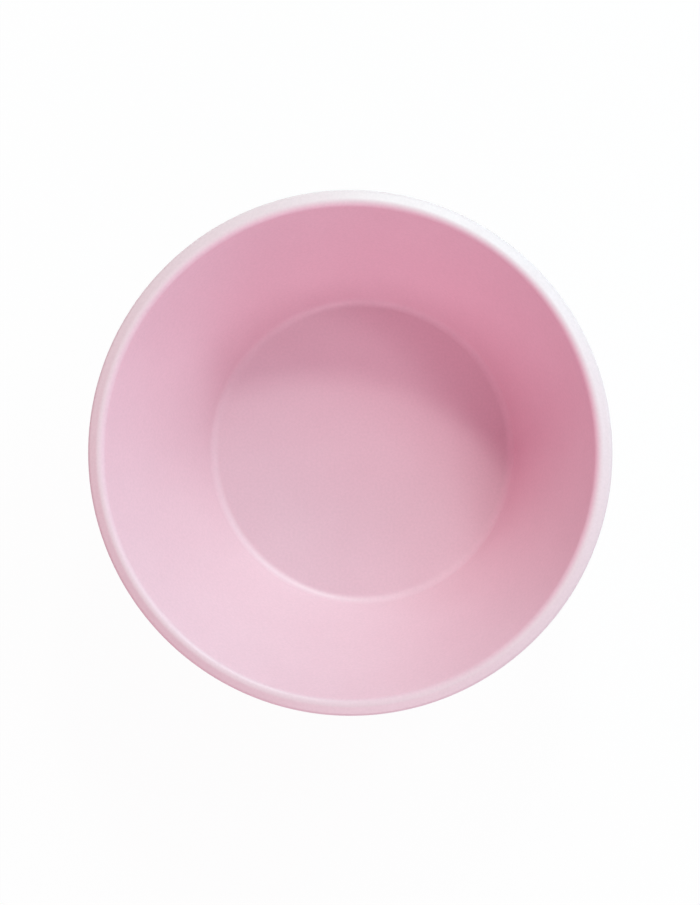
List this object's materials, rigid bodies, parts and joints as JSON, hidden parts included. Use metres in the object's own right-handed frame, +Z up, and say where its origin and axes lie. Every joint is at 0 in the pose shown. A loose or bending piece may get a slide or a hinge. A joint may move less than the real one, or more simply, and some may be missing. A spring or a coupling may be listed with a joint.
{
  "type": "suction bowl",
  "caption": "Round silicone baby bowl with a drafted wall and rolled rim, on a pull-off base with a soft suction skirt and a release tab.",
  "frame": {"origin": "on the table, under the middle of the bowl", "axes": "+Z up along the bowl's axis; the release tab points towards -Y"},
  "size_m": [0.128, 0.128, 0.06],
  "materials": {
    "bowl_silicone": "matte",
    "plate_plastic": "matte",
    "skirt_silicone": "satin",
    "tab_silicone": "satin"
  },
  "bodies": {
    "skirt": {"suction_skirt": "skirt_silicone"},
    "plate": {"base_plate": "plate_plastic"},
    "bowl": {"bowl_shell": "bowl_silicone"},
    "tab": {"release_tab": "tab_silicone"}
  },
  "joints": [
    {"name": "press_down", "type": "slide", "parent": "skirt", "child": "plate", "axis": [0, 0, 1], "range_m": [-0.002, 0], "stiffness_N_per_m": 400, "springref_m": 0.004, "deforming": ["suction_skirt"]},
    {"name": "bowl_lift_off", "type": "slide", "parent": "plate", "child": "bowl", "axis": [0, 0, 1], "range_m": [0, 0.025]},
    {"name": "tab_lift", "type": "hinge", "parent": "skirt", "child": "tab", "pos_m": [0, -0.05076, 0.0007], "axis": [-1, 0, 0], "range_deg": [0, 70], "stiffness_Nm_per_rad": 0.02}
  ]
}
